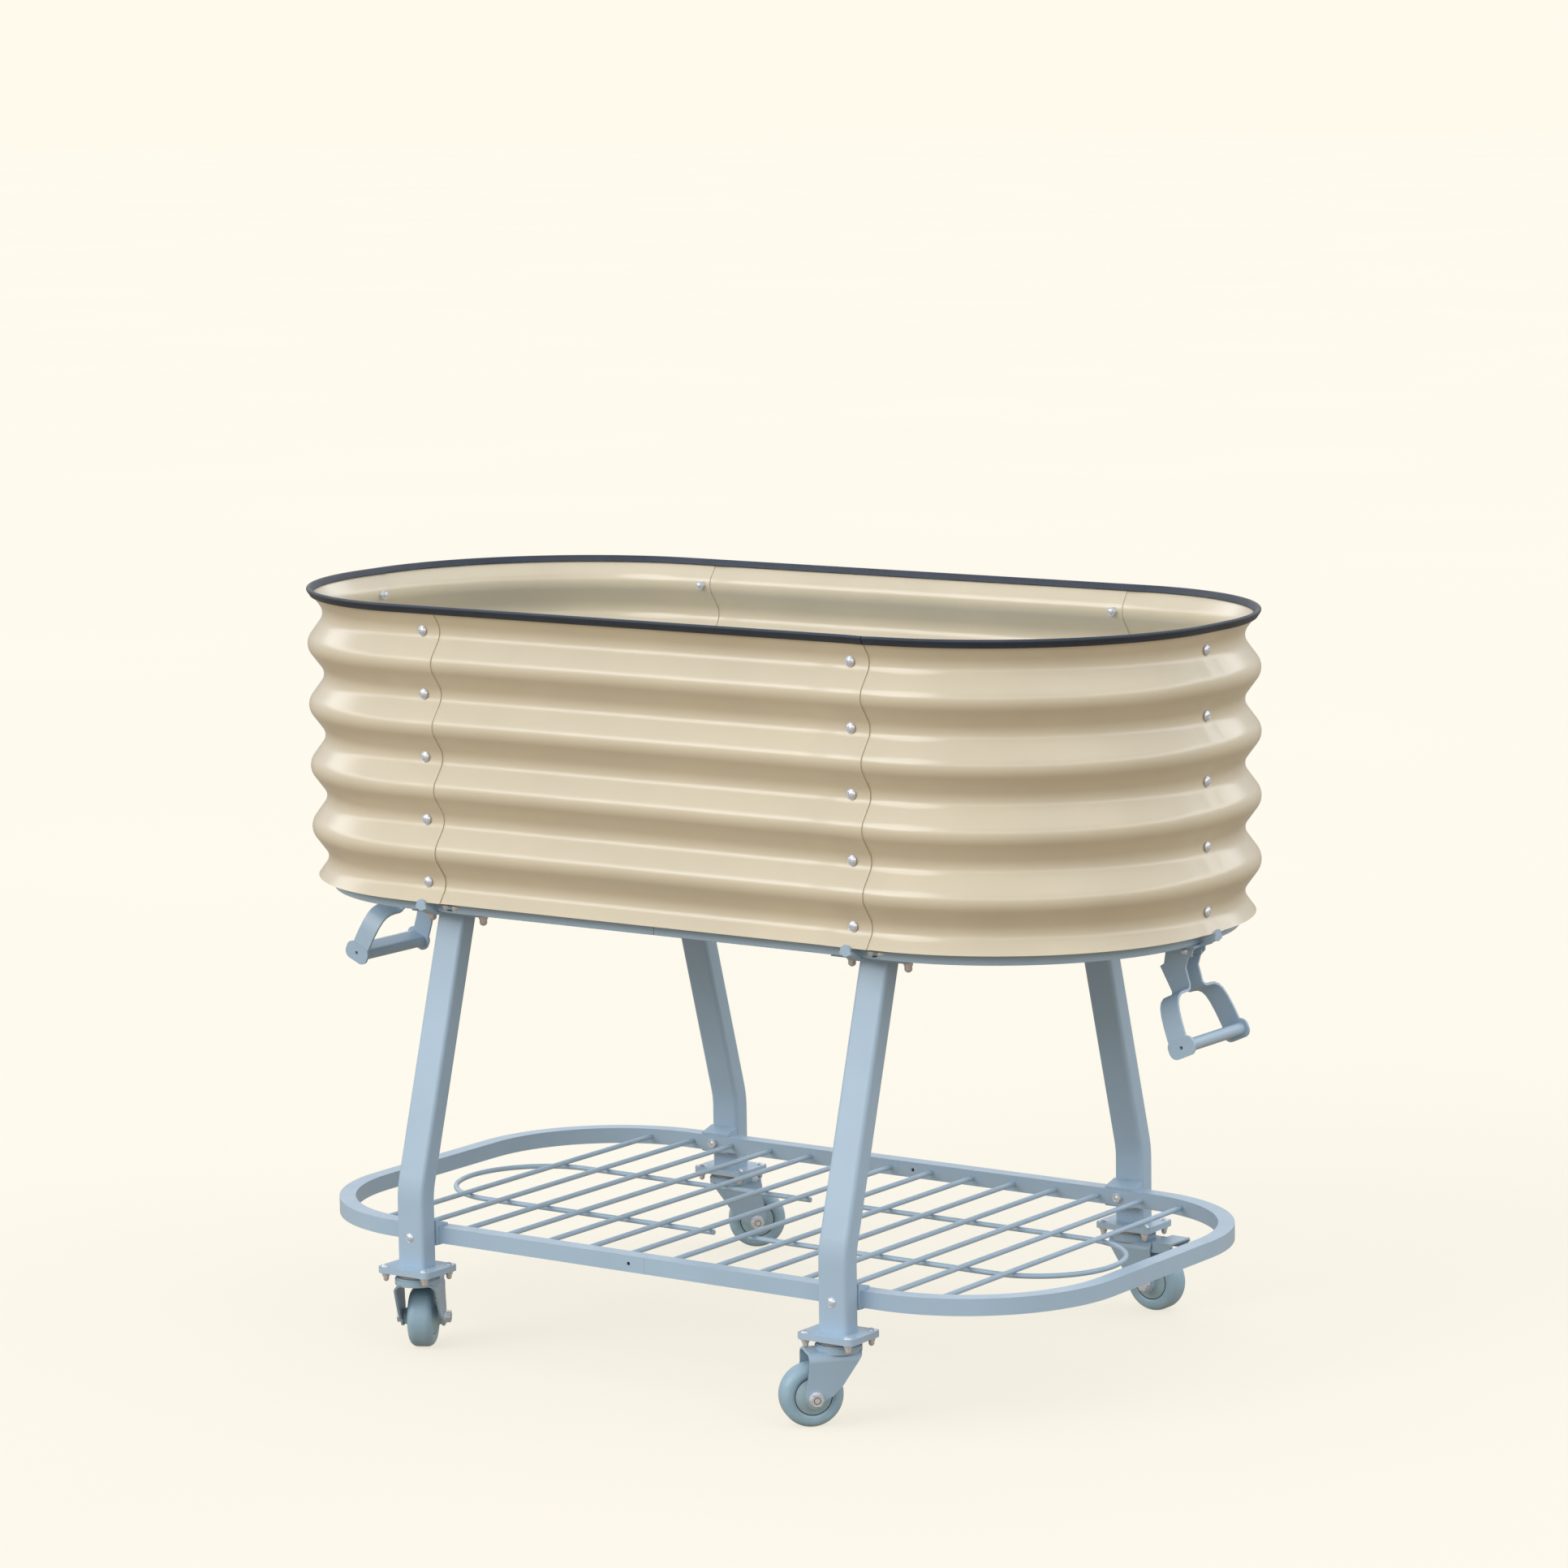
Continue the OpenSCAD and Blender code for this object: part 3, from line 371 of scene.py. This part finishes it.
def wobble(s, z):
    """The slight unevenness that rolling leaves in a thin sheet, in metres."""
    slow = math.sin(19.0 * s + 3.1 * math.sin(9.0 * z)) * math.sin(31.0 * z + 7.0 * s)
    quick = math.sin(57.0 * s + 2.0 * math.sin(41.0 * z)) * math.sin(83.0 * z - 13.0 * s)
    return 0.00016 * slow + 0.00006 * quick


def wall_rows():
    count = round((TOP_Z - LIP_Z) / ROW_STEP)
    return [LIP_Z + (TOP_Z - LIP_Z) * k / count for k in range(count + 1)]


def wall_panel(name, node, start, end, end_lap):
    """A sheet from its tucked-in left end to its lapping right end, each a distance along the outline."""
    first, last = start - UNDER, end + end_lap
    lift = LAP_GAP + SHEET
    near_end = [last - d * MM for d in (0, 0.5, 1.5, 4, 9, 16, 24, 32, 40, 50, 62)]
    spread_to = min(near_end)
    count = round((end - start) / COLUMN_STEP)
    columns = [first + (spread_to - first) * k / count for k in range(count)]
    columns = sorted(columns + near_end)
    rows = wall_rows()
    verts, faces = [], []
    joggle_end = end - end_lap
    for s in columns:
        point, out = outline_point(s)
        over = eased((s - (joggle_end - JOGGLE)) / JOGGLE)
        flare = FLARE * eased((s - (last - FLARE_LENGTH)) / FLARE_LENGTH)
        for z in rows:
            outer = rib(z) + over * lift + flare + wobble(s, z)
            verts.append((*(point + out * outer), z))
            verts.append((*(point + out * (outer - SHEET)), z))
    height = len(rows)

    def at(i, j, inner):
        return 2 * (i * height + j) + inner

    for i in range(len(columns) - 1):
        for j in range(height - 1):
            faces.append((at(i, j, 0), at(i + 1, j, 0), at(i + 1, j + 1, 0), at(i, j + 1, 0)))
            faces.append((at(i, j, 1), at(i, j + 1, 1), at(i + 1, j + 1, 1), at(i + 1, j, 1)))
        for j, flip in ((0, False), (height - 1, True)):
            edge = (at(i, j, 0), at(i, j, 1), at(i + 1, j, 1), at(i + 1, j, 0))
            faces.append(tuple(reversed(edge)) if flip else edge)
    for i, flip in ((0, True), (len(columns) - 1, False)):
        for j in range(height - 1):
            edge = (at(i, j, 0), at(i, j, 1), at(i, j + 1, 1), at(i, j + 1, 0))
            faces.append(tuple(reversed(edge)) if flip else edge)
    panel = add_mesh(name, verts, faces, IVORY, 50.0)
    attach(panel, "planter")
    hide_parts(node)
    return panel


def build_walls():
    panels = (
        ("side_panel_front", SEAMS[5] - PERIMETER, SEAMS[0], SIDE_LAP),
        ("corner_panel_fr", SEAMS[0], SEAMS[1], END_LAP),
        ("corner_panel_br", SEAMS[1], SEAMS[2], SIDE_LAP),
        ("side_panel_back", SEAMS[2], SEAMS[3], SIDE_LAP),
        ("corner_panel_bl", SEAMS[3], SEAMS[4], END_LAP),
        ("corner_panel_fl", SEAMS[4], SEAMS[5], SIDE_LAP),
    )
    for node, start, end, lap in panels:
        wall_panel(node + "_sheet", node, start, end, lap)


# ---------------------------------------------------------------- rim trim

def trim_profile():
    """Closed outline of the U strip, (outwards, up), about the sheet's edge before it tilts."""
    half, slot, reach, crown = 2.75 * MM, 1.0 * MM, 7.5 * MM, 2.7 * MM
    lip = 0.5 * MM
    top = arc(0, -0.6 * MM, crown, 0, 180, 14)
    left = arc(-half + lip, -reach + lip, lip, 180, 270, 4)
    left_in = arc(-slot - lip, -reach + lip, lip, 270, 360, 4)
    right_in = arc(slot + lip, -reach + lip, lip, 180, 270, 4)
    right = arc(half - lip, -reach + lip, lip, 270, 360, 4)
    return top + left + left_in + [(-slot, -0.5 * MM), (slot, -0.5 * MM)] + right_in + right


def build_trim():
    """The strip runs once round the rim and butts together near the front right corner."""
    joint = HALF_L - CORNER_R - TRIM_JOINT
    tilt = math.atan((rib(TOP_Z) - rib(TOP_Z - TRIM_REACH)) / TRIM_REACH)
    centre = rib(TOP_Z) - SHEET / 2
    profile = [
        (x * math.cos(tilt) + y * math.sin(tilt) + centre, -x * math.sin(tilt) + y * math.cos(tilt) + TOP_Z)
        for x, y in trim_profile()
    ]
    length = PERIMETER - 2 * TRIM_GAP
    verts, faces, lengths = [], [], []
    for i in range(TRIM_STEPS + 1):
        s = joint + TRIM_GAP + length * i / TRIM_STEPS
        point, out = outline_point(s)
        from_joint = min(abs(s - joint), abs(s - joint - PERIMETER))
        sink = TRIM_SINK * eased(1 - from_joint / TRIM_EASE)
        for x, z in profile:
            verts.append((*(point + out * x), z - sink))
            lengths.append(s)
    n = len(profile)
    for i in range(TRIM_STEPS):
        for k in range(n):
            m = (k + 1) % n
            faces.append((i * n + k, i * n + m, (i + 1) * n + m, (i + 1) * n + k))
    faces.append(tuple(reversed(range(n))))
    faces.append(tuple(TRIM_STEPS * n + k for k in range(n)))
    trim = add_mesh("rim_trim_strip", verts, faces, TRIM, 50.0)
    uv = trim.data.uv_layers.new(name="length")
    for loop in trim.data.loops:
        uv.data[loop.index].uv = (lengths[loop.vertex_index], (loop.vertex_index % n) / n)
    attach(trim, "planter")
    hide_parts("rim_trim")


# ---------------------------------------------------------------- fasteners

def turned_row(verts, r, z, segments):
    """Adds a ring of points at a radius and height, and returns their numbers."""
    row = list(range(len(verts), len(verts) + segments))
    for k in range(segments):
        a = 2 * math.pi * k / segments
        verts.append((r * math.cos(a), r * math.sin(a), z))
    return row


def cross_depth(x, y, slot_r, slot_w):
    """How deep a cross recess with softened walls is at a point of the head."""
    across, outwards = sorted((abs(x), abs(y)))
    wall = eased((slot_w - across) / (0.3 * MM) + 0.5)
    end = eased((slot_r - outwards) / (0.35 * MM) + 0.5)
    return wall * end * slot_r * 0.45


def dome_head(radius, height, shank, length, slot_r, slot_w):
    """A truss head with a rolled edge and a cross recess, and its shank down -Z."""
    ball_r = (radius ** 2 + height ** 2) / (2 * height)
    segments = 48
    edge = 0.35 * MM
    verts, rows = [(0, 0, height - cross_depth(0, 0, slot_r, slot_w))], []
    for part in (0.02, 0.09, 0.16, 0.23, 0.30, 0.37, 0.44, 0.52, 0.62, 0.72, 0.82, 0.91, 0.97):
        r = radius * part
        row = turned_row(verts, r, height - ball_r + math.sqrt(ball_r ** 2 - r ** 2), segments)
        for index in row:
            x, y, z = verts[index]
            verts[index] = (x, y, z - cross_depth(x, y, slot_r, slot_w))
        rows.append(row)
    rows.append(turned_row(verts, radius, edge, segments))
    rows.append(turned_row(verts, radius * 0.985, 0.0, segments))
    rows.append(turned_row(verts, shank, 0.0, segments))
    rows.append(turned_row(verts, shank, -length, segments))
    rows.append(turned_row(verts, shank * 0.8, -length - 0.4 * MM, segments))
    faces = [(0, rows[0][k], rows[0][(k + 1) % segments]) for k in range(segments)]
    for low, high in zip(rows, rows[1:]):
        for k in range(segments):
            n = (k + 1) % segments
            faces.append((low[k], high[k], high[n], low[n]))
    faces.append(tuple(reversed(rows[-1])))
    return verts, faces


def swap(name, node, head, places):
    """Detailed plated fasteners on the planter, in place of a CAD node."""
    obj = copies(name, [head], places, PLATED, 35.0)
    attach(obj, "planter")
    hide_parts(node)


def seam_places(offset):
    """Placings at every wall bolt, standing out from the wall by the offset, each turned its own way."""
    places = []
    for s in SEAMS:
        point, out = outline_point(s)
        for i in range(BOLT_ROWS):
            z = VALLEY_Z + i * PITCH
            position = (*(point + out * offset), z)
            places.append(place_at(position, (*out, 0), 0.7 * i + 3.1 * s))
    return places


def shelf_bolt_places():
    """Placings on the outer faces of the four legs, at the height of the shelf ring."""
    return [
        place_at((x * LEG_X, y * (FOOT_Y + LEG_D / 2), RING_Z), (0, y, 0), 0.5 * x + y)
        for x in (-1, 1) for y in (-1, 1)
    ]


# ---------------------------------------------------------------- carried-over CAD nodes

def finish_node(name, material, bevel=0.0, segments=2, angle=40.0):
    """Gives a CAD node its material, welded smooth shading and, if asked, softened edges."""
    obj = NODES[name]
    obj.data.materials.clear()
    obj.data.materials.append(material)
    for polygon in obj.data.polygons:
        polygon.material_index = 0
    weld = obj.modifiers.new("weld", "WELD")
    weld.merge_threshold = 0.00001
    if bevel:
        edges = obj.modifiers.new("bevel", "BEVEL")
        edges.width = bevel
        edges.segments = segments
        edges.limit_method = "ANGLE"
        edges.angle_limit = math.radians(angle)
    smooth = obj.modifiers.new("smooth", "NODES")
    smooth.node_group = smoothing_group(angle)
    weighted = obj.modifiers.new("weighted", "WEIGHTED_NORMAL")
    weighted.keep_sharp = True


def smoothing_group(angle):
    """A node group that shades smooth except across edges sharper than the angle."""
    name = f"smooth_{angle:g}"
    group = bpy.data.node_groups.get(name)
    if group:
        return group
    group = bpy.data.node_groups.new(name, "GeometryNodeTree")
    group.interface.new_socket("Geometry", in_out="INPUT", socket_type="NodeSocketGeometry")
    group.interface.new_socket("Geometry", in_out="OUTPUT", socket_type="NodeSocketGeometry")
    source = group.nodes.new("NodeGroupInput")
    target = group.nodes.new("NodeGroupOutput")
    edge_angle = group.nodes.new("GeometryNodeInputMeshEdgeAngle")
    compare = group.nodes.new("FunctionNodeCompare")
    compare.data_type = "FLOAT"
    compare.operation = "LESS_THAN"
    compare.inputs["B"].default_value = math.radians(angle)
    faces = group.nodes.new("GeometryNodeSetShadeSmooth")
    faces.domain = "FACE"
    edges = group.nodes.new("GeometryNodeSetShadeSmooth")
    edges.domain = "EDGE"
    links = group.links
    links.new(edge_angle.outputs["Unsigned Angle"], compare.inputs["A"])
    links.new(source.outputs[0], faces.inputs["Geometry"])
    links.new(faces.outputs["Geometry"], edges.inputs["Geometry"])
    links.new(compare.outputs["Result"], edges.inputs["Shade Smooth"])
    links.new(edges.outputs["Geometry"], target.inputs[0])
    return group


def finish_frame():
    for name in ("base_rail_left", "base_rail_right", "cross_bars"):
        finish_node(name, BLUE, TUBE_EDGE, 3, 50.0)
    for name in ("shelf_left", "shelf_right"):
        finish_node(name, BLUE, SHELF_EDGE, 3, 60.0)
    for name in ("floor_tray_left", "floor_tray_right"):
        finish_node(name, BLUE)
    finish_node("leg_brackets", BLUE, SHEET_EDGE)
    for side in ("left", "right"):
        finish_node(f"end_bracket_{side}", BLUE, SHEET_EDGE)
        finish_node(f"handle_grip_{side}", BLUE)
        for end in ("front", "back"):
            finish_node(f"handle_strap_{side}_{end}", BLUE, SHEET_EDGE, 2, 30.0)
    for corner in CORNERS:
        finish_node(f"leg_{corner}", BLUE, SHEET_EDGE)
        # Forks and brakes take the darker copy of the blue coat, which is painted shade.
        finish_node(f"fork_{corner}", SHADED_FORK_COAT, FORK_EDGE)
        finish_node(f"tyre_{corner}", TREAD)
        finish_node(f"hub_{corner}", HUB, SMALL_EDGE)
        finish_node(f"axle_{corner}", PLATED, SMALL_EDGE)
        if f"brake_{corner}" in NODES:
            finish_node(f"brake_{corner}", SHADED_FORK_COAT, FORK_EDGE)
    finish_node("caster_plates", BLUE, FORK_EDGE)
    for name in ("rail_sleeves", "shelf_sleeves"):
        finish_node(name, INSERT, FORK_EDGE)
    for name in ("panel_nuts", "shelf_nuts", "frame_bolts", "caster_bolts", "handle_bolts"):
        finish_node(name, PLATED, SMALL_EDGE)
    for name in ("frame_nuts", "caster_nuts"):
        finish_node(name, CAP_NUT, SMALL_EDGE)


# ---------------------------------------------------------------- caster details

def wheel_axis(corner):
    """The wheel's centre and the direction of its axle, from the box of its tread."""
    low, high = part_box(f"tyre_{corner}")
    centre = (low + high) / 2
    swivel = Vector((math.copysign(LEG_X, centre.x), math.copysign(FOOT_Y, centre.y), centre.z))
    forward = (centre - swivel).normalized()
    return centre, Vector((-forward.y, forward.x, 0))


def painted_shade_rings(radius, half, face, sides=(-1, 1)):
    """Thin dark rings of painted shade, for the shadow down narrow gaps, at a distance from the wheel's
    middle along its axle.
    """
    templates = []
    for side in sides:
        outside = side * (face + 0.08 * MM)
        low, high = sorted((outside, outside - side * 0.4 * MM))
        inner, outer = radius - half, radius + half
        templates.append(lathe([(inner, low), (outer, low), (outer, high), (inner, high)], 72))
    return templates


def race_ring():
    """The greased steel ring that shows between a caster's plate and its fork."""
    bulge = arc(RACE_R, (RACE_LOW + RACE_HIGH) / 2, 1.0 * MM, -90, 90, 8)
    profile = [(RACE_R - 1 * MM, RACE_LOW + 0.2 * MM), (RACE_R + 0.2 * MM, RACE_LOW + 0.2 * MM)]
    profile += bulge
    profile += [(RACE_R + 0.2 * MM, RACE_HIGH - 0.1 * MM), (RACE_R - 1 * MM, RACE_HIGH - 0.1 * MM)]
    return [lathe(profile, 64)]


def build_caster_details():
    for corner in CORNERS:
        centre, axis = wheel_axis(corner)
        # Painted shade: a dark ring down the hub's groove on each side of the wheel.
        hub_rings = painted_shade_rings(GROOVE_R, 0.75 * MM, HUB_HALF)
        groove = copies(f"hub_groove_shade_{corner}", hub_rings, [place_at(centre, axis)], GAP_SHADE, 40.0)
        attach(groove, f"wheel_{corner}")
        low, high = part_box(f"axle_{corner}")
        nut_way = ((low + high) / 2 - centre).normalized()
        # Painted shade round the axle's end, where it stands in its nut.
        nut_ring = painted_shade_rings(AXLE_R, 0.35 * MM, NUT_FACE, sides=(1,))
        gap = copies(f"axle_end_shade_{corner}", nut_ring, [place_at(centre, nut_way)], GAP_SHADE, 40.0)
        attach(gap, f"swivel_{corner}")
        x = math.copysign(LEG_X, centre.x)
        y = math.copysign(FOOT_Y, centre.y)
        race = copies(f"race_ring_{corner}", race_ring(), [Matrix.Translation((x, y, 0))], RACE, 40.0)
        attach(race, "planter")


# ---------------------------------------------------------------- studio

def add_camera():
    """The photograph's view: a long lens from the front right, a little above the rim."""
    yaw, pitch, roll = math.radians(-33.76), math.radians(8.21), math.radians(-0.626)
    forward = Vector((math.sin(yaw) * math.cos(pitch), math.cos(yaw) * math.cos(pitch), -math.sin(pitch)))
    right = Vector((math.cos(yaw), -math.sin(yaw), 0))
    up = right.cross(forward)
    right, up = (
        right * math.cos(roll) + up * math.sin(roll),
        up * math.cos(roll) - right * math.sin(roll),
    )
    data = bpy.data.cameras.new("camera")
    data.sensor_width = 36
    data.lens = 121.5
    data.shift_x = -0.0883
    data.shift_y = -0.0102
    data.clip_end = 60
    camera = bpy.data.objects.new("camera", data)
    bpy.context.scene.collection.objects.link(camera)
    camera.matrix_world = Matrix((
        (right.x, up.x, -forward.x, 3.4849),
        (right.y, up.y, -forward.y, -4.9065),
        (right.z, up.z, -forward.z, 1.5264),
        (0, 0, 0, 1),
    ))
    bpy.context.scene.camera = camera


def add_backdrop():
    """A pale floor, no brighter than the backdrop. Its own light stays off the object."""
    material, tree, shader = node_material("pale_floor")
    patches = spread(tree, noise(tree, 0.8, 2.0), 0.0, 1.0)
    tree.links.new(
        blend_colour(tree, patches, tint(PALE, 0.235), tint(PALE, 0.245)), shader.inputs["Base Color"]
    )
    shader.inputs["Roughness"].default_value = 1.0
    shader.inputs["Specular IOR Level"].default_value = 0.0
    shader.inputs["Emission Color"].default_value = (*PALE, 1)
    shader.inputs["Emission Strength"].default_value = 0.722
    rings = [(0.0, 0.0), (1.0, 0.0), (3.0, 0.0), (9.0, 0.0), (60.0, 0.0)]
    verts, faces = lathe(rings, 64, close=False)
    floor = add_mesh("floor", verts, [tuple(reversed(f)) for f in faces], material)
    floor.visible_diffuse = False
    floor.visible_glossy = False


def add_sun(name, azimuth, elevation, strength, spread_angle, colour):
    """Distant light from an azimuth (0 = front, 90 = right) and elevation, in degrees."""
    data = bpy.data.lights.new(name, "SUN")
    data.energy = strength
    data.angle = math.radians(spread_angle)
    data.color = colour
    light = bpy.data.objects.new(name, data)
    bpy.context.scene.collection.objects.link(light)
    az, el = math.radians(azimuth), math.radians(elevation)
    source = Vector((math.sin(az) * math.cos(el), -math.cos(az) * math.cos(el), math.sin(el)))
    light.rotation_euler = source.to_track_quat("Z", "Y").to_euler()


def add_light():
    """A soft sky with a brighter ring low down, over a dim warm ground, seen only by the object."""
    world = bpy.data.worlds.new("studio")
    bpy.context.scene.world = world
    world.use_nodes = True
    tree = world.node_tree
    backdrop = tree.nodes["Background"]
    backdrop.inputs["Color"].default_value = (*PALE, 1)
    coords = tree.nodes.new("ShaderNodeTexCoord")
    split = tree.nodes.new("ShaderNodeSeparateXYZ")
    height = tree.nodes.new("ShaderNodeMapRange")
    height.inputs["From Min"].default_value = -1.0
    ramp = tree.nodes.new("ShaderNodeValToRGB")
    stops = ramp.color_ramp.elements
    for elevation, colour in SKY:
        place = (math.sin(math.radians(elevation)) + 1) / 2
        if elevation == SKY[0][0]:
            stop = stops[0]
            stop.position = place
        elif elevation == SKY[-1][0]:
            stop = stops[len(stops) - 1]
            stop.position = place
        else:
            stop = stops.new(place)
        stop.color = (*colour, 1)
    sky = tree.nodes.new("ShaderNodeBackground")
    sky.inputs["Strength"].default_value = SKY_STRENGTH
    path = tree.nodes.new("ShaderNodeLightPath")
    mix = tree.nodes.new("ShaderNodeMixShader")
    links = tree.links
    links.new(coords.outputs["Generated"], split.inputs["Vector"])
    links.new(split.outputs["Z"], height.inputs["Value"])
    links.new(height.outputs["Result"], ramp.inputs["Fac"])
    links.new(ramp.outputs["Color"], sky.inputs["Color"])
    links.new(path.outputs["Is Camera Ray"], mix.inputs["Fac"])
    links.new(sky.outputs["Background"], mix.inputs[1])
    links.new(backdrop.outputs["Background"], mix.inputs[2])
    links.new(mix.outputs["Shader"], tree.nodes["World Output"].inputs["Surface"])
    add_sun("key", -24, 32, 0.9, 36, (1.0, 0.985, 0.96))
    add_sun("rim", 112, 46, 0.3, 70, (1.0, 1.0, 1.0))


# ---------------------------------------------------------------- build

add_camera()
build_walls()
build_trim()
finish_frame()
wall_head = dome_head(6.2 * MM, 3.0 * MM, 3.0 * MM, 10.5 * MM, 2.9 * MM, 0.75 * MM)
swap("panel_bolt_heads", "panel_bolts", wall_head, seam_places(2.85 * MM))
shelf_head = dome_head(5.5 * MM, 2.9 * MM, 3.0 * MM, SHELF_GRIP, 2.6 * MM, 0.7 * MM)
swap("shelf_bolt_heads", "shelf_bolts", shelf_head, shelf_bolt_places())
build_caster_details()
add_backdrop()
add_light()

bpy.context.scene.view_settings.view_transform = "Standard"
